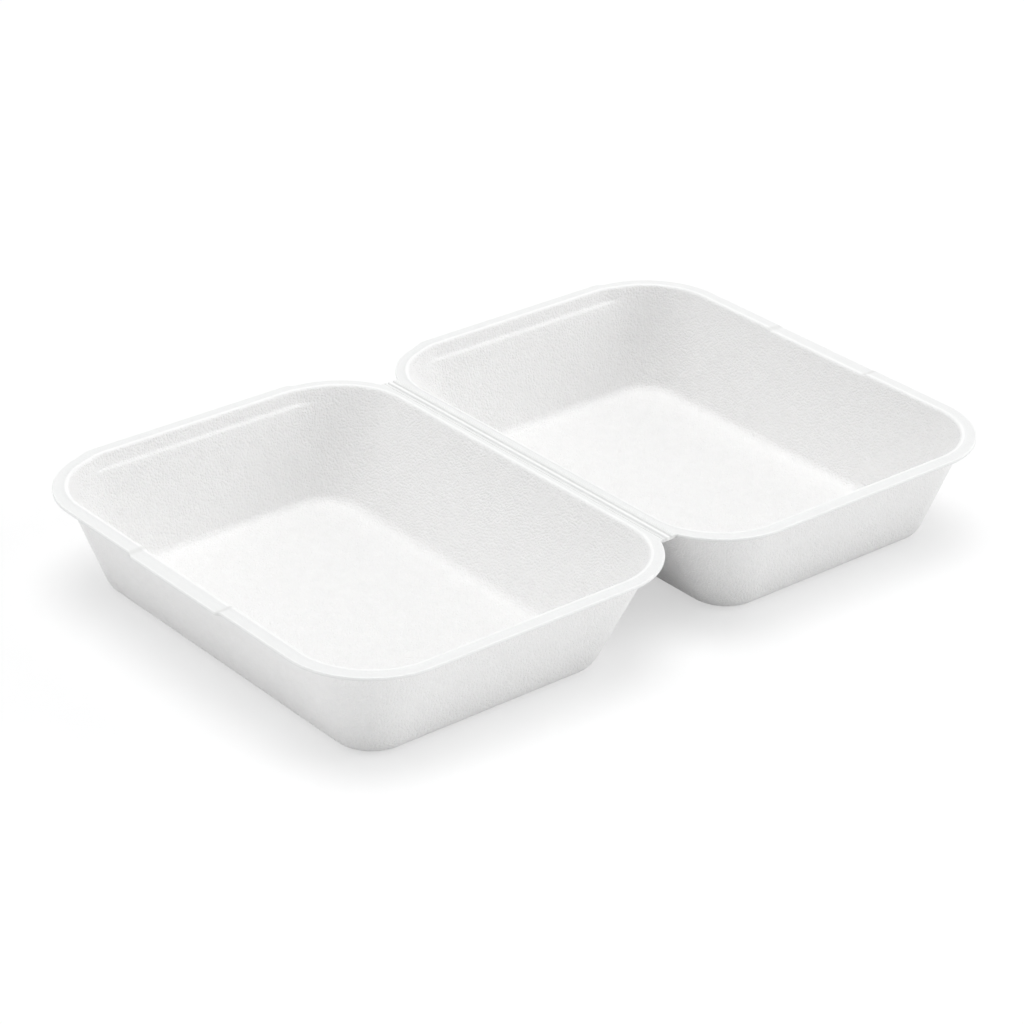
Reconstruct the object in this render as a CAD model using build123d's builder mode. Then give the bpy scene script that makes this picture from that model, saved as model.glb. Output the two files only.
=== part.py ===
"""Hinged foam food container, lying open: a base tray and a lid tray pressed from one foam sheet.

Millimetres. X runs across the container (base at -X, lid at +X), Y runs along the hinge, Z is up.
The origin lies on the table, midway along the hinge and midway between the two trays.
"""

import os
from math import atan, cos, degrees, radians, sin, tan

from build123d import *

# Rim of one tray, seen from above
rim_length = 230.0  # along the hinge
rim_width = 177.0  # from the hinge-side edge to the front edge
rim_corner_radius = 39.0
flange_front = 7.0  # width of the flat rim along the front
flange_end = 6.3  # along the two ends
flange_hinge = 6.0  # along the hinge
flange_thickness = 1.8  # the rim is pressed a little thinner than the sheet
mouth_round = 1.4  # rounding between the rim's top and the inside of the wall
rim_edge_break = 0.4

# Walls and floor
tray_height = 48.0  # table to the top of the rim
sheet_thickness = 2.2
wall_run = 20.0  # how far a wall leans in on its way from the rim to the table
mouth_corner_radius = 32.5  # inside corner at the rim, tighter lower down as the walls lean in
floor_round = 7.0  # inside rounding between floor and wall

# Step in one end wall: near the top the wall and the rim stand out over a narrow ledge
step_out = 3.2
step_rim_out = 1.8
step_depth = 6.0  # from the top of the rim down to the ledge
step_wall_short = 2.0  # how far the wall's step stops short of the corners
step_rim_past = 2.5  # how far the rim's step runs on into the corners
step_slope = 30.0  # degrees, how the step runs out into the corners
step_reach = 3.0  # how far the step's outline is drawn back into the edge it stands out from
step_round = 5.0  # rounding of the step's ends, seen from above

# Finger notch: the middle of the front rim is pressed down and stands out a little
notch_half_length = 29.0
notch_drop = 1.1
notch_out = 1.2
notch_ramp = 2.5  # length of the slope at each end
notch_round = 1.4  # rounding along the notch's inner edge

# Hinge: the rims meet in a rib with a groove and a fine score line on each side
hinge_half_length = 92.0
hinge_half_width = 1.0  # from the fold to the rim's own outline
hinge_clearance = 0.2  # between the two halves
groove_place = 1.2  # from the fold to the middle of the groove
groove_half_width = 0.6
groove_depth = 0.9
score_place = 2.6
score_half_width = 0.3
score_depth = 0.3
ear_reach = 20.0  # how far the rim is squared off beside the fold

# Places worked out from the sizes above
wall_lean = atan(wall_run / tray_height)
wall_across = sheet_thickness / cos(wall_lean)  # the sheet's thickness measured level
mouth_width = rim_width - flange_front - flange_hinge
mouth_length = rim_length - 2 * flange_end
rim_middle = -hinge_half_width - rim_width / 2
mouth_middle = -hinge_half_width - flange_hinge - mouth_width / 2
front_edge = -hinge_half_width - rim_width
notch_edge = front_edge - notch_out
fold_edge = -hinge_clearance / 2
along_wall = (0, sin(wall_lean), cos(wall_lean))
outer_wall = mouth_length / 2 + wall_across
straight_half = mouth_width / 2 - mouth_corner_radius
step_floor = tray_height - step_depth
rim_underside = tray_height - flange_thickness


def tray_outline(height, grow=0.0):
    """Rounded outline of the inside of the walls at a height, grown outwards."""
    inset = wall_run * (1 - height / tray_height) - grow
    with Locations((mouth_middle, 0)):
        RectangleRounded(mouth_width - 2 * inset, mouth_length - 2 * inset, mouth_corner_radius - inset)


def step_outline(edge, out, half_length):
    """Outline with sloping ends that stands out from a straight end edge."""
    slope_run = (step_reach + out) / tan(radians(step_slope))
    Polygon(
        (mouth_middle - half_length - slope_run, edge - step_reach),
        (mouth_middle + half_length + slope_run, edge - step_reach),
        (mouth_middle + half_length, edge + out),
        (mouth_middle - half_length, edge + out),
        align=None,
    )


def wall_step_outline(edge, depth):
    """Outline of the step in the end wall, at a depth below the top of the rim."""
    spread = (edge - mouth_length / 2) * tan(radians(step_slope / 2))
    with Locations((0, -wall_run * depth / tray_height)):
        step_outline(edge, step_out, straight_half - step_wall_short + spread)


def notch_profile(top):
    """Long shallow shape of the notch, seen from the front, hanging from a given height."""
    Polygon(
        (-notch_half_length - notch_ramp, top),
        (-notch_half_length, top - notch_drop),
        (notch_half_length, top - notch_drop),
        (notch_half_length + notch_ramp, top),
        align=None,
    )


def groove_profile(place, half_width, depth):
    """V-shaped groove along the hinge, cut down from the rim's top."""
    Polygon(
        (place - half_width, tray_height),
        (place, tray_height - depth),
        (place + half_width, tray_height),
        align=None,
    )


# Space inside a tray: the leaning walls, the rounded floor and the step in one end wall
with BuildPart() as cavity:
    with BuildSketch(Plane.XY.offset(sheet_thickness)):
        tray_outline(sheet_thickness)
    extrude(amount=tray_height - sheet_thickness, taper=-degrees(wall_lean))
    fillet(cavity.faces().sort_by(Axis.Z)[0].edges(), floor_round)
    with BuildSketch(Plane.XY.offset(step_floor)):
        wall_step_outline(mouth_length / 2, step_depth)
    extrude(amount=step_depth / cos(wall_lean), dir=along_wall)
    step_ends = cavity.edges().filter_by_position(Axis.Z, step_floor + mouth_round, tray_height - mouth_round)
    fillet(step_ends.filter_by_position(Axis.Y, mouth_length / 2 - step_depth, rim_length), step_round)

# Base tray: a leaning shell with a flat rim, opened out by the space inside
with BuildPart() as base_tray:
    with BuildSketch(Plane.XY):
        tray_outline(0, wall_across)
    extrude(amount=tray_height, taper=-degrees(wall_lean))
    fillet(base_tray.faces().sort_by(Axis.Z)[0].edges(), floor_round + sheet_thickness)
    with BuildSketch(Plane.XY.offset(step_floor - sheet_thickness)):
        wall_step_outline(outer_wall, step_depth + sheet_thickness)
    extrude(amount=(step_depth + sheet_thickness) / cos(wall_lean), dir=along_wall)
    # The rim stands out with the step and the notch and is squared off beside the fold
    with BuildSketch(Plane.XY.offset(rim_underside)) as rim:
        with Locations((rim_middle, 0)):
            RectangleRounded(rim_width, rim_length, rim_corner_radius)
        step_outline(rim_length / 2, step_rim_out, rim_width / 2 - rim_corner_radius + step_rim_past)
        step_ends = rim.vertices().filter_by_position(Axis.Y, rim_length / 2 - flange_end, rim_length)
        fillet(step_ends, step_round)
        with Locations((fold_edge, 0)):
            Rectangle(ear_reach, 2 * hinge_half_length, align=(Align.MAX, Align.CENTER))
        with Locations((notch_edge, 0)):
            Rectangle(flange_front, 2 * (notch_half_length + notch_ramp), align=(Align.MIN, Align.CENTER))
    extrude(amount=flange_thickness)
    # Underside of the finger notch, pressed down with the rim
    with BuildSketch(Plane.YZ.offset(notch_edge)):
        notch_profile(rim_underside)
    extrude(amount=notch_out + flange_front)
    add(cavity.part, mode=Mode.SUBTRACT)
    rim_top = base_tray.faces().filter_by(Axis.Z).sort_by(Axis.Z)[-1]
    fillet(rim_top.inner_wires()[0].edges(), mouth_round)
    rim_top = base_tray.faces().filter_by(Axis.Z).sort_by(Axis.Z)[-1]
    chamfer(rim_top.outer_wire().edges().filter_by(GeomType.CIRCLE), rim_edge_break)
    with BuildSketch(Plane.YZ.offset(notch_edge)):
        notch_profile(tray_height)
    extrude(amount=notch_out + flange_front + wall_run, mode=Mode.SUBTRACT)
    notch_floor = base_tray.faces().filter_by(Axis.Z).sort_by(Axis.X)[:2].sort_by(Axis.Z)[-1]
    fillet(notch_floor.edges().sort_by(Axis.X)[-1], notch_round)
    # Rib, grooves and score line along the fold
    with BuildSketch(Plane.XZ.offset(-hinge_half_length)):
        groove_profile(-groove_place, groove_half_width, groove_depth)
        groove_profile(-score_place, score_half_width, score_depth)
    extrude(amount=2 * hinge_half_length, mode=Mode.SUBTRACT)

# Lid tray: the base tray's mirror image across the fold
with BuildPart() as lid_tray:
    mirror(base_tray.part, about=Plane.YZ)

os.makedirs("parts", exist_ok=True)
base_tray.part.label = "base_tray"
export_step(base_tray.part, "parts/base_tray.step")
lid_tray.part.label = "lid_tray"
export_step(lid_tray.part, "parts/lid_tray.step")
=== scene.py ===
"""Looks of an open foam food container: two pressed trays and the ribbed fold between them, in metres."""

from math import atan, cos, degrees, pi, radians, sin, tan

import bpy
import numpy as np
from mathutils import Matrix, Vector


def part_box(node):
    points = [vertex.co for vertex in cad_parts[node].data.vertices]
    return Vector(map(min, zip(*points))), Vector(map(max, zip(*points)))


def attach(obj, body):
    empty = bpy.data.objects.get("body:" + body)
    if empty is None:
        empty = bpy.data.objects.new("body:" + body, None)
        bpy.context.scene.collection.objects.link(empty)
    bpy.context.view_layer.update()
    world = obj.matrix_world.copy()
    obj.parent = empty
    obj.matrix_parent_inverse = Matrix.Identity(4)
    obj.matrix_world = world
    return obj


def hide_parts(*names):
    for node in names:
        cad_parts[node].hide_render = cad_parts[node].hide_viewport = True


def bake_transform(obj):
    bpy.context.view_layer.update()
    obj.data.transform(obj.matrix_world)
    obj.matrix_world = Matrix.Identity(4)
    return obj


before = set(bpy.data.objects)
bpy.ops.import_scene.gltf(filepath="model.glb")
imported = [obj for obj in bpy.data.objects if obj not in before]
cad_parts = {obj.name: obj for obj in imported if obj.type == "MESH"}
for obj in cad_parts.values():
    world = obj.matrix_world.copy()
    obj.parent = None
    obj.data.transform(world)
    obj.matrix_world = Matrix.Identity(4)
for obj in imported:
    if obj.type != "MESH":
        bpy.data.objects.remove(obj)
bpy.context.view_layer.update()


# Base tray. Half of a pressed sheet of white polystyrene foam: a flat floor, leaning walls and a flat rim.
# The press rounds every corner, sinks a finger notch into the front rim and leaves a step in one end wall.
# The rim runs into the fold along one side, so the sheet carries on there into the other tray.
base_low, base_high = (np.array(corner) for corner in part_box("base_tray"))
tray_height = base_high[2]
sheet = 0.0022
wall_run = 0.0180  # how far the front and end walls lean in between rim and table
fold_wall_run = 0.0260  # the wall beside the fold leans in more
wall_lean = atan(wall_run / tray_height)
wall_across = sheet / cos(wall_lean)
floor_round = 0.0045
foot_round = 0.0080

rim_thickness = 0.0018
notch_reach = 0.0012  # how far the box of the solid tray stands out past its front rim
rim_front = base_low[0] + notch_reach
rim_fold_side = -0.0010
rim_corner = 0.0390
rim_middle = (rim_front + rim_fold_side) / 2
rim_half_width = (rim_fold_side - rim_front) / 2
rim_half_length = -base_low[1]
rim_edge_round = 0.0005
rim_under_round = 0.0003
rim_wall_round = 0.0010

flange_front, flange_end, flange_fold = 0.0070, 0.0063, 0.0060
mouth_middle = rim_middle + (flange_front - flange_fold) / 2
mouth_half_width = rim_half_width - (flange_front + flange_fold) / 2
mouth_half_length = rim_half_length - flange_end
mouth_corner = 0.0325
mouth_round = 0.0016
bead_height = 0.0003  # the mouth's edge stands a little above the flat of the rim
flange_top = tray_height - bead_height

step_out = 0.0013
step_depth = 0.0060  # from the top of the rim down to the step's ledge
step_short = 0.0020  # how far the wall's step stops short of the corners
step_full = mouth_half_width - mouth_corner - step_short
step_fade = 0.0120
step_floor = tray_height - step_depth
rim_step_out = base_high[1] - rim_half_length
rim_step_past = 0.0015  # how far the rim's step runs on into the corners
rim_step_full = rim_half_width - rim_corner + rim_step_past
rim_step_sharp, rim_step_soft = 0.0032, 0.0100

notch_half_length = 0.0282
notch_ramp = 0.0044
notch_drop = 0.0008
notch_out = 0.0008
# How dark the painted shade is halfway down the notch's ramps
notch_shade_strength = 0.7

fold_half_length = 0.0920
fold_seam = 0.0032  # from the fold's middle to where its strip meets the rim

# Where points stand along a side, as shares of its straight half, and round a corner, in degrees
notch_edge = (notch_half_length + notch_ramp / 2) / (rim_half_length - rim_corner)
notch_band = np.linspace(-0.03, 0.03, 15)
front_shares = np.r_[np.linspace(-1, 1, 43), notch_edge + notch_band, -notch_edge + notch_band]
front_stations = np.unique(front_shares)[1:-1]
side_stations = np.linspace(-1, 1, 45)[1:-1]
ear_angle = degrees(np.arcsin((fold_half_length - rim_half_length + rim_corner) / rim_corner))
corner_angles = np.unique(np.r_[np.linspace(0, 90, 37), ear_angle + np.array((-0.5, -0.04, 0.04, 0.5))])

# Rows over a flat floor, as shares of the way from its middle to its edge
floor_shares = (0.08, 0.2, 0.35, 0.5, 0.65, 0.8, 0.9, 0.96, 0.99)
# Rows of a wall start close by a rounding and then keep clear of it and of the step
close_by, clear_of = 0.0004, 0.003
# Rows over the step's ledge, as height above it and share of the step reached, and heights of the rows above
step_eases = ((-0.0008, 0.0), (-0.0005, 0.07), (-0.0003, 0.2), (-0.0001, 0.42),
              (0.0001, 0.65), (0.0003, 0.84), (0.0005, 0.95), (0.0008, 1.0))
above_step_inside = (0.0014, 0.0022)
above_step_outside = (0.0032, 0.0018)
# Rows across the rim, as share of the way from the mouth to the edge and share of the bead's height lost
flange_dips = ((0.06, 0), (0.14, 0.1), (0.22, 0.5), (0.30, 0.9), (0.38, 1),
               (0.5, 1), (0.7, 1), (0.88, 1), (0.96, 1))
# Rows given a painted highlight: the last ones up to the mouth's bead, and all round the rim's edge
bead_rows, edge_rows = 4, 7
# How strong the painted highlight is round the rim's edge
edge_highlight = 0.7


def smooth_window(distance, full, fade):
    """One up to a distance, easing to nothing over the fade."""
    share = np.clip((full + fade - distance) / fade, 0, 1)
    return share * share * (3 - 2 * share)


def rounded_outline(middle, half_width, half_length, corner):
    """Closed outline with rounded corners, counter-clockwise, starting along the fold side."""
    across, along = half_width - corner, half_length - corner
    turn = np.radians(corner_angles)
    sides = []
    sides.append(np.c_[np.full(len(side_stations), half_width), side_stations * along])
    sides.append(np.c_[across + corner * np.cos(turn), along + corner * np.sin(turn)])
    sides.append(np.c_[-side_stations * across, np.full(len(side_stations), half_length)])
    sides.append(np.c_[-across - corner * np.cos(turn[::-1]), along + corner * np.sin(turn[::-1])])
    sides.append(np.c_[np.full(len(front_stations), -half_width), -front_stations * along])
    sides.append(np.c_[-across - corner * np.cos(turn), -along - corner * np.sin(turn)])
    sides.append(np.c_[side_stations * across, np.full(len(side_stations), -half_length)])
    sides.append(np.c_[across + corner * np.cos(turn[::-1]), -along - corner * np.sin(turn[::-1])])
    return np.concatenate(sides) + np.array((middle, 0))


def wall_outline(grow, height):
    """The mouth's outline grown outwards, its fold side drawn in because that wall leans more."""
    lean_in = (fold_wall_run - wall_run) * (1 - height / tray_height)
    middle, half_width = mouth_middle - lean_in / 2, mouth_half_width - lean_in / 2
    return rounded_outline(middle, half_width + grow, mouth_half_length + grow, mouth_corner + grow)


def rim_outline(inset):
    """The rim's outer outline, squared off beside the fold as far as the fold reaches."""
    half_width, half_length = rim_half_width - inset, rim_half_length - inset
    outline = rounded_outline(rim_middle, half_width, half_length, rim_corner - inset)
    on_fold_side = outline[:, 0] > rim_fold_side - rim_corner / 4
    outline[on_fold_side & (np.abs(outline[:, 1]) < fold_half_length), 0] = -fold_seam - inset
    return outline


def wall_grow(height):
    """How far the inside of the wall stands from the mouth's outline at a height."""
    return wall_run * (height / tray_height - 1)


def notch_share(x, y):
    """One along the finger notch in the front rim, easing to nothing at its ends."""
    return smooth_window(np.abs(y), notch_half_length, notch_ramp) * (x < rim_middle)


def step_share(x, y, middle, full, fade):
    """One along the step at the far end, easing to nothing towards the corners."""
    return smooth_window(np.abs(x - middle), full, fade) * (y > rim_half_length / 3)


def wall_row(grow, height, step=0.0, notch=0.0):
    """A row of points on the wall, pushed out by the end step and down along the wall by the finger notch."""
    x, y = wall_outline(grow, height).T
    out = step * step_out * step_share(x, y, mouth_middle, step_full, step_fade)
    sink = notch * notch_drop * notch_share(x, y)
    return np.c_[x + sink * tan(wall_lean), y + out, height - sink]


def rim_row(inset, height, sharp_side):
    """A row of points round the rim's edge, pushed out by the end step, and out and down by the notch."""
    x, y = rim_outline(inset).T
    fade = np.where((x - rim_middle) * sharp_side > 0, rim_step_sharp, rim_step_soft)
    out = rim_step_out * step_share(x, y, rim_middle, rim_step_full, fade)
    notch = notch_share(x, y)
    return np.c_[x - notch * notch_out, y + out, height - notch * notch_drop]


def floor_rows(edge):
    """Rows that fill a flat floor, from near its middle out to its edge."""
    middle = (edge.min(axis=0) + edge.max(axis=0)) / 2
    return [middle + (edge - middle) * share for share in floor_shares]


def inside_rows():
    """Rows from the middle of the floor up the inside of the wall to the top of the rim."""
    turn_height = sheet + floor_round
    turn_grow = wall_grow(turn_height) - floor_round / cos(wall_lean)
    rows = floor_rows(wall_row(turn_grow, sheet))
    for turn in np.linspace(0, pi / 2 - wall_lean, 10):
        rows.append(wall_row(turn_grow + floor_round * sin(turn), turn_height - floor_round * cos(turn)))
    wall_foot = turn_height - floor_round * sin(wall_lean)
    for height in np.r_[wall_foot + close_by, np.linspace(wall_foot + clear_of, step_floor - clear_of, 9)]:
        rows.append(wall_row(wall_grow(height), height))
    for rise, step in step_eases:
        rows.append(wall_row(wall_grow(step_floor + rise), step_floor + rise, step))
    for rise in above_step_inside:
        rows.append(wall_row(wall_grow(step_floor + rise), step_floor + rise, 1))
    turn_height = tray_height - mouth_round
    turn_grow = wall_grow(turn_height) + mouth_round / cos(wall_lean)
    for turn in np.linspace(wall_lean, pi / 2, 9):
        grow, height = turn_grow - mouth_round * cos(turn), turn_height + mouth_round * sin(turn)
        rows.append(wall_row(grow, height, 1, 1))
    return rows


def rim_rows(mouth_edge, sharp_side):
    """Rows from the mouth across the rim's top, round its edge and back along its underside to the wall."""
    rows = []
    top_edge = rim_row(rim_edge_round, tray_height, sharp_side)
    for share, dip in flange_dips:
        rows.append(mouth_edge + (top_edge - mouth_edge) * share - np.array((0, 0, dip * bead_height)))
    for turn in np.linspace(0, pi / 2, 6):
        inset, drop = rim_edge_round * (1 - sin(turn)), rim_edge_round * (1 - cos(turn))
        rows.append(rim_row(inset, flange_top - drop, sharp_side))
    underside = tray_height - rim_thickness
    rows.append(rim_row(0, (flange_top - rim_edge_round + underside + rim_under_round) / 2, sharp_side))
    for turn in np.linspace(0, pi / 2, 4):
        inset, rise = rim_under_round * (1 - cos(turn)), rim_under_round * (1 - sin(turn))
        rows.append(rim_row(inset, underside + rise, sharp_side))
    under_edge = rows[-1]
    turn_height = underside - rim_wall_round
    turn_grow = wall_grow(turn_height) + wall_across + rim_wall_round / cos(wall_lean)
    wall_top = []
    for turn in np.linspace(pi / 2, wall_lean, 5):
        grow, height = turn_grow - rim_wall_round * cos(turn), turn_height + rim_wall_round * sin(turn)
        wall_top.append(wall_row(grow, height, 1, 1))
    for share in (0.1, 0.5, 0.9):
        rows.append(under_edge + (wall_top[0] - under_edge) * share)
    return rows + wall_top


def outside_rows():
    """Rows from under the rim down the outside of the wall to the middle of the underside."""
    rows = []
    ledge = step_floor - sheet
    for rise in above_step_outside:
        rows.append(wall_row(wall_grow(ledge + rise) + wall_across, ledge + rise, 1))
    for rise, step in step_eases[::-1]:
        rows.append(wall_row(wall_grow(ledge + rise) + wall_across, ledge + rise, step))
    turn_grow = wall_grow(foot_round) + wall_across - foot_round / cos(wall_lean)
    wall_foot = foot_round - foot_round * sin(wall_lean)
    for height in np.r_[np.linspace(ledge - clear_of, wall_foot + clear_of, 9), wall_foot + close_by]:
        rows.append(wall_row(wall_grow(height) + wall_across, height))
    for turn in np.linspace(pi / 2 - wall_lean, 0, 12):
        rows.append(wall_row(turn_grow + foot_round * sin(turn), foot_round - foot_round * cos(turn)))
    return rows + floor_rows(rows[-1])[::-1]


def tray_object(name, mirrored, sharp_side):
    """Closed mesh of one tray from its rows, with a point in the middle of the floor and of the underside."""
    rows = inside_rows()
    bead = len(rows)
    rows += rim_rows(rows[-1], sharp_side)
    rim_end, rim_edge = len(rows), bead + len(flange_dips)
    rows += outside_rows()
    around = len(rows[0])
    points = np.concatenate(rows + [[rows[0].mean(axis=0)], [rows[-1].mean(axis=0)]])
    # Masks for the foam: where a highlight is painted, the smoothed rim, and painted shade halfway down the
    # notch's ramps
    painted_highlight, smoothed = np.zeros((2, len(points)))
    painted_highlight[(bead - bead_rows) * around:(bead + 1) * around] = 1
    painted_highlight[rim_edge * around:(rim_edge + edge_rows) * around] = edge_highlight
    smoothed[(bead - bead_rows) * around:rim_end * around] = 1
    sunk = notch_share(points[:, 0], points[:, 1])
    painted_crease_shade = smoothed * notch_shade_strength * 4 * sunk * (1 - sunk)
    if mirrored:
        points[:, 0] *= -1
    step = np.arange(around)
    after = (step + 1) % around
    faces = []
    for row in range(len(rows) - 1):
        inner, outer = row * around, (row + 1) * around
        faces += np.c_[inner + step, outer + step, outer + after, inner + after].tolist()
    top, bottom, last = len(rows) * around, len(rows) * around + 1, (len(rows) - 1) * around
    faces += np.c_[np.full(around, top), step, after].tolist()
    faces += np.c_[np.full(around, bottom), last + after, last + step].tolist()
    if mirrored:
        faces = [face[::-1] for face in faces]
    mesh = bpy.data.meshes.new(name)
    mesh.from_pydata(points.tolist(), [], faces)
    mesh.polygons.foreach_set("use_smooth", [True] * len(mesh.polygons))
    for mask, values in (("bead", painted_highlight), ("smoothed", smoothed), ("crease", painted_crease_shade)):
        mesh.attributes.new(mask, "FLOAT", "POINT").data.foreach_set("value", values)
    tray = bpy.data.objects.new(name, mesh)
    bpy.context.collection.objects.link(tray)
    return tray


def linked(tree, kind, links=(), **settings):
    """A node with its settings, fed by (socket, source) pairs; a source is an output or a plain value."""
    node = tree.nodes.new(kind)
    for key, value in settings.items():
        setattr(node, key, value)
    for socket, source in links:
        if isinstance(source, bpy.types.NodeSocket):
            tree.links.new(source, node.inputs[socket])
        else:
            node.inputs[socket].default_value = source
    return node


def worked_out(tree, operation, *values, **settings):
    """What a sum such as ADD or MULTIPLY makes of its values."""
    links = list(enumerate(values))
    return linked(tree, "ShaderNodeMath", links, operation=operation, **settings).outputs[0]


def ramped(tree, value, first, last, low, high, **settings):
    """A value that goes from low to high as the given one goes from first to last."""
    links = [("Value", value), ("From Min", first), ("From Max", last), ("To Min", low), ("To Max", high)]
    return linked(tree, "ShaderNodeMapRange", links, **settings).outputs["Result"]


def tinted(tree, share, colour, other):
    """A colour that turns into another by a share."""
    links = [("Factor", share), ("A", colour), ("B", other)]
    return linked(tree, "ShaderNodeMix", links, data_type="RGBA").outputs["Result"]


def mask_of(tree, name):
    """A mask that the mesh carries under a name."""
    return linked(tree, "ShaderNodeAttribute", attribute_name=name).outputs["Fac"]


# Foam grain: the skin shows the flattened tops of the foam's cells, finer grit over them and a faint mottling
grit_fineness = 2.6  # how many times finer than the cells
grit_height = 0.7  # against a cell's height
mottling_scale, mottling_share = 240.0, 0.4
foam_grain = bpy.data.node_groups.new("foam_grain", "ShaderNodeTree")
for name, kind in (("Position", "NodeSocketVector"), ("Cell size", "NodeSocketFloat")):
    foam_grain.interface.new_socket(name=name, in_out="INPUT", socket_type=kind)
for name in ("Height", "Speckle"):
    foam_grain.interface.new_socket(name=name, in_out="OUTPUT", socket_type="NodeSocketFloat")
given = foam_grain.nodes.new("NodeGroupInput").outputs
density = worked_out(foam_grain, "DIVIDE", 1.0, given["Cell size"])
cells = linked(foam_grain, "ShaderNodeTexVoronoi", [("Vector", given["Position"]), ("Scale", density),
               ("Smoothness", 0.6), ("Randomness", 1.0)], feature="SMOOTH_F1").outputs["Distance"]
finer = worked_out(foam_grain, "MULTIPLY", density, grit_fineness)
grit = linked(foam_grain, "ShaderNodeTexNoise", [("Vector", given["Position"]), ("Scale", finer),
              ("Detail", 2.0), ("Roughness", 0.55)]).outputs["Fac"]
dome = worked_out(foam_grain, "SUBTRACT", 1.0, cells)
relief = worked_out(foam_grain, "MULTIPLY_ADD", grit, grit_height, dome)
mottling = linked(foam_grain, "ShaderNodeTexNoise", [("Vector", given["Position"]), ("Scale", mottling_scale),
                  ("Detail", 3.0)]).outputs["Fac"]
speckle = linked(foam_grain, "ShaderNodeMix", [("Factor", mottling_share), ("A", grit), ("B", mottling)],
                 data_type="FLOAT").outputs["Result"]
linked(foam_grain, "NodeGroupOutput", [("Height", relief), ("Speckle", speckle)])

foam_dull, foam_bright = (0.860, 0.856, 0.852, 1), (0.990, 0.985, 0.981, 1)
rim_grey, rim_greying = (0.780, 0.790, 0.785, 1), 0.5
# Painted highlight: the whiter colour given to the mouth's bead, the rim's edge and the fold's rib, where
# light catches them
bead_highlight_white = (0.94, 0.94, 0.935, 1)
# Painted shade: the grey given to the fold's grooves, the lines where the strip meets the rims and the
# notch's ramps, where shade falls
painted_shade_grey = (0.74, 0.74, 0.73, 1)
foam_roughness, bead_roughness = 0.62, 0.4
foam_relief, rim_relief = 0.8, 0.25
tray_foam = bpy.data.materials.new("tray_foam")
tray_foam.use_nodes = True
tree = tray_foam.node_tree
shader = tree.nodes["Principled BSDF"]
shader.inputs["Specular IOR Level"].default_value = 0.4
place = linked(tree, "ShaderNodeTexCoord").outputs["Object"]
grain = linked(tree, "ShaderNodeGroup", node_tree=foam_grain)
tree.links.new(place, grain.inputs["Position"])
grain.inputs["Cell size"].default_value = 0.0009
bead, smoothed, crease = (mask_of(tree, name) for name in ("bead", "smoothed", "crease"))
colour = tinted(tree, grain.outputs["Speckle"], foam_dull, foam_bright)
colour = tinted(tree, worked_out(tree, "MULTIPLY", smoothed, rim_greying), colour, rim_grey)
# The painted highlight on the bead, the rim's edge and the rib
colour = tinted(tree, bead, colour, bead_highlight_white)
# The painted shade in the grooves, along the score lines and on the notch's ramps
colour = tinted(tree, crease, colour, painted_shade_grey)
tree.links.new(colour, shader.inputs["Base Color"])
roughness = ramped(tree, bead, 0.0, 1.0, foam_roughness, bead_roughness)
tree.links.new(roughness, shader.inputs["Roughness"])
strength = ramped(tree, smoothed, 0.0, 1.0, foam_relief, rim_relief)
bump = linked(tree, "ShaderNodeBump", [("Strength", strength), ("Distance", 0.00045),
              ("Height", grain.outputs["Height"])])
tree.links.new(bump.outputs["Normal"], shader.inputs["Normal"])

base_foam = tray_object("base_foam", False, 1)
base_foam.data.materials.append(tray_foam)
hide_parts("base_tray")
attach(base_foam, "base")


# Lid tray. The other half of the same sheet, pressed to the same form as the base and its mirror image across
# the fold, so that the two rims meet face to face when the container is shut.
lid_foam = tray_object("lid_foam", True, -1)
lid_foam.data.materials.append(tray_foam)
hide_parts("lid_tray")
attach(lid_foam, "lid")


# Fold. The narrow strip of sheet between the rims, with a groove pressed along each side of a thin rib.
# Its ends are cut square.
fold_sizes = {
    "Width": 2 * fold_seam,
    "Thickness": rim_thickness - bead_height,
    "Edge round": 0.0004,
    "Length": 2 * fold_half_length,
    "Groove place": 0.0014,
    "Groove half width": 0.0007,
    "Groove depth": 0.0008,
    "Score width": 0.0004,
    "Rib half width": 0.0004,
    "Rib foot": 0.0007,
    "Point spacing": 0.0001,
}
fold_stations = 47
# How dark the painted shade is along the lines where the strip meets the rims
score_shade = 0.5
fold_tree = bpy.data.node_groups.new("ribbed_fold", "GeometryNodeTree")
for name in fold_sizes:
    fold_tree.interface.new_socket(name=name, in_out="INPUT", socket_type="NodeSocketFloat")
fold_tree.interface.new_socket(name="Foam", in_out="INPUT", socket_type="NodeSocketMaterial")
fold_tree.interface.new_socket(name="Geometry", in_out="OUTPUT", socket_type="NodeSocketGeometry")
given = fold_tree.nodes.new("NodeGroupInput").outputs

# The strip's section is a rounded bar with grooves pressed into its top.
# It lies on its head along the path, so that top is at negative Y
section = linked(fold_tree, "GeometryNodeCurvePrimitiveQuadrilateral",
                 [("Width", given["Width"]), ("Height", given["Thickness"])])
section = linked(fold_tree, "GeometryNodeFilletCurve", [("Curve", section.outputs["Curve"]), ("Count", 4),
                 ("Radius", given["Edge round"])], mode="POLY")
section = linked(fold_tree, "GeometryNodeResampleCurve", [("Curve", section.outputs["Curve"]),
                 ("Length", given["Point spacing"])], mode="LENGTH")
position = linked(fold_tree, "GeometryNodeInputPosition").outputs[0]
spot = linked(fold_tree, "ShaderNodeSeparateXYZ", [(0, position)]).outputs
side = worked_out(fold_tree, "ABSOLUTE", spot["X"])
past_groove = worked_out(fold_tree, "SUBTRACT", side, given["Groove place"])
from_groove = worked_out(fold_tree, "ABSOLUTE", past_groove)
pressed = ramped(fold_tree, from_groove, 0.0, given["Groove half width"], given["Groove depth"], 0.0,
                 interpolation_type="SMOOTHSTEP")
on_top = worked_out(fold_tree, "LESS_THAN", spot["Y"], 0.0)
sunk = worked_out(fold_tree, "MULTIPLY", pressed, on_top)
offset = linked(fold_tree, "ShaderNodeCombineXYZ", [("Y", sunk)]).outputs[0]
grooved = linked(fold_tree, "GeometryNodeSetPosition", [("Geometry", section.outputs["Curve"]),
                 ("Offset", offset)])
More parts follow.
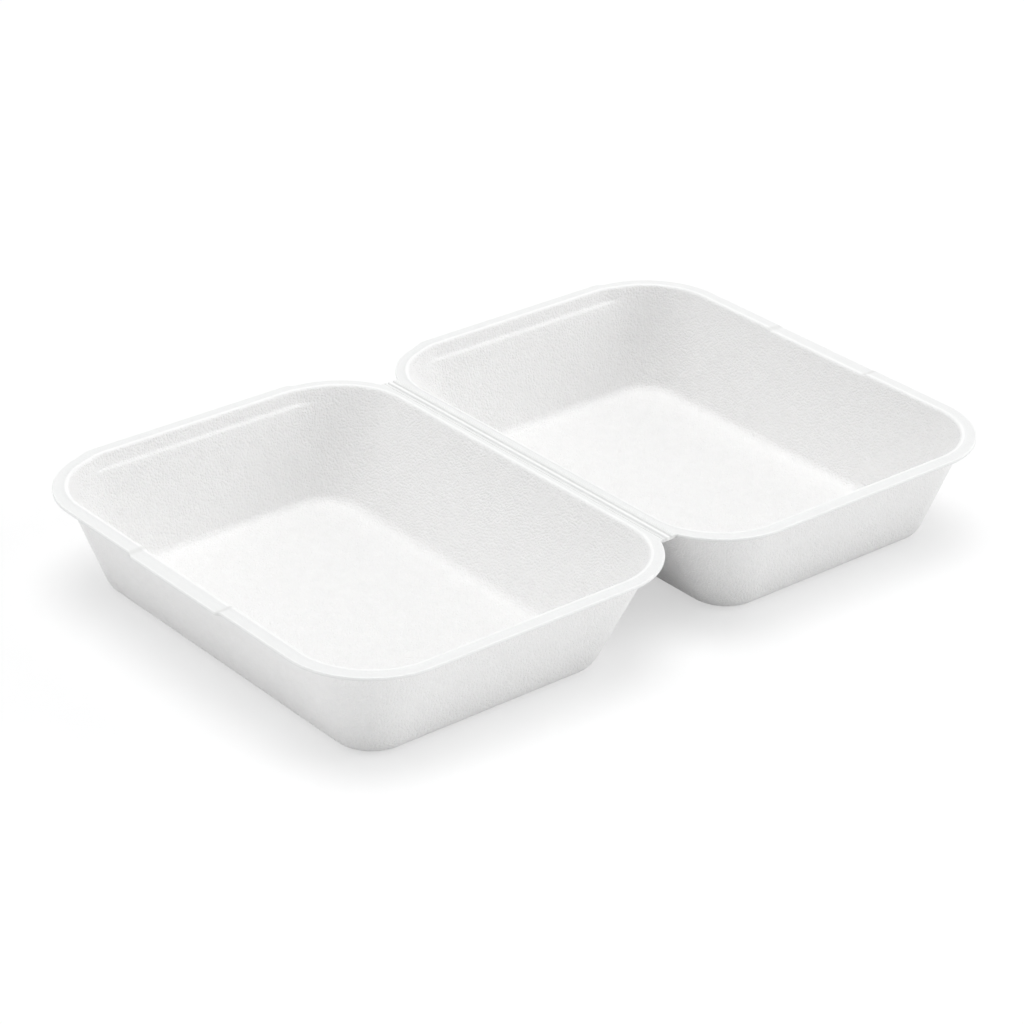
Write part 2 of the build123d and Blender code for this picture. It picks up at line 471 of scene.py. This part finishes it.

# Masks for the foam: painted shade in the grooves and where the strip meets the rims, and a painted highlight
# on the rib
depth_share = worked_out(fold_tree, "DIVIDE", sunk, given["Groove depth"])
half_width = worked_out(fold_tree, "MULTIPLY", given["Width"], 0.5)
from_edge = worked_out(fold_tree, "SUBTRACT", half_width, side)
score_line_shading = ramped(fold_tree, from_edge, 0.0, given["Score width"], score_shade, 0.0)
painted_crease_shade = worked_out(fold_tree, "MAXIMUM", depth_share, score_line_shading)
rib_highlight = ramped(fold_tree, side, given["Rib half width"], given["Rib foot"], 1.0, 0.0)
for mask, value in (("crease", painted_crease_shade), ("bead", rib_highlight), ("smoothed", 1.0)):
    grooved = linked(fold_tree, "GeometryNodeStoreNamedAttribute", [("Geometry", grooved.outputs["Geometry"]),
                     ("Name", mask), ("Value", value)], data_type="FLOAT", domain="POINT")

# The section runs along the fold. Its ends are split into triangles while flat, so that they stay whole if
# the strip is bent
ends = []
for half in (0.5, -0.5):
    reach = worked_out(fold_tree, "MULTIPLY", given["Length"], half)
    ends.append(linked(fold_tree, "ShaderNodeCombineXYZ", [("Y", reach)]).outputs[0])
path = linked(fold_tree, "GeometryNodeCurvePrimitiveLine", [("Start", ends[0]), ("End", ends[1])])
path = linked(fold_tree, "GeometryNodeResampleCurve", [("Curve", path.outputs["Curve"]),
              ("Count", fold_stations)], mode="COUNT")
path = linked(fold_tree, "GeometryNodeSetCurveNormal", [("Curve", path.outputs["Curve"])], mode="Z_UP")
strip = linked(fold_tree, "GeometryNodeCurveToMesh", [("Curve", path.outputs["Curve"]),
               ("Profile Curve", grooved.outputs["Geometry"]), ("Fill Caps", True)])
strip = linked(fold_tree, "GeometryNodeTriangulate", [("Mesh", strip.outputs["Mesh"])])
strip = linked(fold_tree, "GeometryNodeRealizeInstances", [("Geometry", strip.outputs["Mesh"])])
strip = linked(fold_tree, "GeometryNodeSetMaterial", [("Geometry", strip.outputs["Geometry"]),
               ("Material", given["Foam"])])
linked(fold_tree, "NodeGroupOutput", [("Geometry", strip.outputs["Geometry"])])

fold_foam = bpy.data.objects.new("fold_foam", bpy.data.meshes.new("fold_foam"))
bpy.context.collection.objects.link(fold_foam)
modifier = fold_foam.modifiers.new("ribbed_fold", "NODES")
modifier.node_group = fold_tree
sockets = {item.name: item.identifier for item in fold_tree.interface.items_tree if item.in_out == "INPUT"}
for name, value in fold_sizes.items():
    modifier[sockets[name]] = float(value)
modifier[sockets["Foam"]] = tray_foam
evaluated = fold_foam.evaluated_get(bpy.context.evaluated_depsgraph_get())
fold_mesh = bpy.data.meshes.new_from_object(evaluated)
fold_foam.modifiers.clear()
fold_foam.data = fold_mesh
fold_mesh.transform(Matrix.Translation((0, 0, (flange_top + tray_height - rim_thickness) / 2)))
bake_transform(fold_foam)


# Floor and light. A wide white table stands under a broad soft lamp from above and two weaker, lower ones, in
# an even white surround. Where it is seen, the table is washed towards white but keeps the shadow on it.
def looked_at(tree):
    """One where a surface is seen, also in a mirror or through glass; nothing where it only gives light."""
    path = linked(tree, "ShaderNodeLightPath").outputs
    passed_on = worked_out(tree, "ADD", path["Is Glossy Ray"], path["Is Transmission Ray"])
    return worked_out(tree, "ADD", path["Is Camera Ray"], passed_on, use_clamp=True)


floor_reach = 6
floor_wash = 0.52
floor_corners = [(x * floor_reach, y * floor_reach, 0) for x, y in ((-1, -1), (1, -1), (1, 1), (-1, 1))]
floor_mesh = bpy.data.meshes.new("studio_floor")
floor_mesh.from_pydata(floor_corners, [], [(0, 1, 2, 3)])
studio_floor = bpy.data.objects.new("studio_floor", floor_mesh)
bpy.context.collection.objects.link(studio_floor)
floor_white = bpy.data.materials.new("floor_white")
floor_white.use_nodes = True
tree = floor_white.node_tree
shader = tree.nodes["Principled BSDF"]
shader.inputs["Base Color"].default_value = (0.98, 0.98, 0.98, 1)
shader.inputs["Roughness"].default_value = 1.0
shader.inputs["Specular IOR Level"].default_value = 0.0
washed = worked_out(tree, "MULTIPLY", looked_at(tree), floor_wash)
glow = linked(tree, "ShaderNodeEmission", [("Color", (1, 1, 1, 1)), ("Strength", 1.0)])
table = linked(tree, "ShaderNodeMixShader", [(0, washed), (1, shader.outputs[0]), (2, glow.outputs[0])])
tree.links.new(table.outputs[0], tree.nodes["Material Output"].inputs["Surface"])
floor_mesh.materials.append(floor_white)

world = bpy.data.worlds.new("studio")
bpy.context.scene.world = world
world.use_nodes = True
tree = world.node_tree
tree.nodes.clear()
surround = linked(tree, "ShaderNodeBackground", [("Color", (0.985, 0.993, 1, 1)), ("Strength", 0.40)])
backdrop = linked(tree, "ShaderNodeBackground", [("Color", (1, 1, 1, 1)), ("Strength", 1.0)])
chosen = linked(tree, "ShaderNodeMixShader", [(0, looked_at(tree)), (1, surround.outputs[0]),
                (2, backdrop.outputs[0])])
linked(tree, "ShaderNodeOutputWorld", [("Surface", chosen.outputs[0])])

lamp_spread = radians(40)
for heading, elevation, strength in ((0, 90, 0.50), (140, 26, 0.16), (-40, 20, 0.27)):
    lamp = bpy.data.lights.new("soft_lamp", "SUN")
    lamp.energy = strength * pi
    lamp.angle = lamp_spread
    soft_lamp = bpy.data.objects.new("soft_lamp", lamp)
    bpy.context.collection.objects.link(soft_lamp)
    soft_lamp.rotation_euler = (radians(90 - elevation), 0, radians(heading + 90))


# Camera. It stands above the table, off the near corner of the base, and looks down on both trays through a
# long lens, turned by a degree about its own line of sight.
view_azimuth, view_elevation, view_roll = radians(-39.91), radians(27.63), radians(0.94)
view_distance = 1.484
view_target = Vector((0.0224, 0.0335, 0.0))
level = cos(view_elevation)
backwards = Vector((sin(view_azimuth) * level, -cos(view_azimuth) * level, sin(view_elevation)))
rightwards = Vector((cos(view_azimuth), sin(view_azimuth), 0))
upwards = backwards.cross(rightwards)
camera_data = bpy.data.cameras.new("camera")
camera_data.sensor_width = 36
camera_data.lens = 119.0
camera_data.clip_end = 50
camera = bpy.data.objects.new("camera", camera_data)
bpy.context.collection.objects.link(camera)
right = rightwards * cos(view_roll) + upwards * sin(view_roll)
up = upwards * cos(view_roll) - rightwards * sin(view_roll)
turned = Matrix((right, up, backwards)).transposed().to_4x4()
camera.matrix_world = Matrix.Translation(view_target + backwards * view_distance) @ turned
bpy.context.scene.camera = camera

bpy.context.scene.view_settings.view_transform = "Standard"
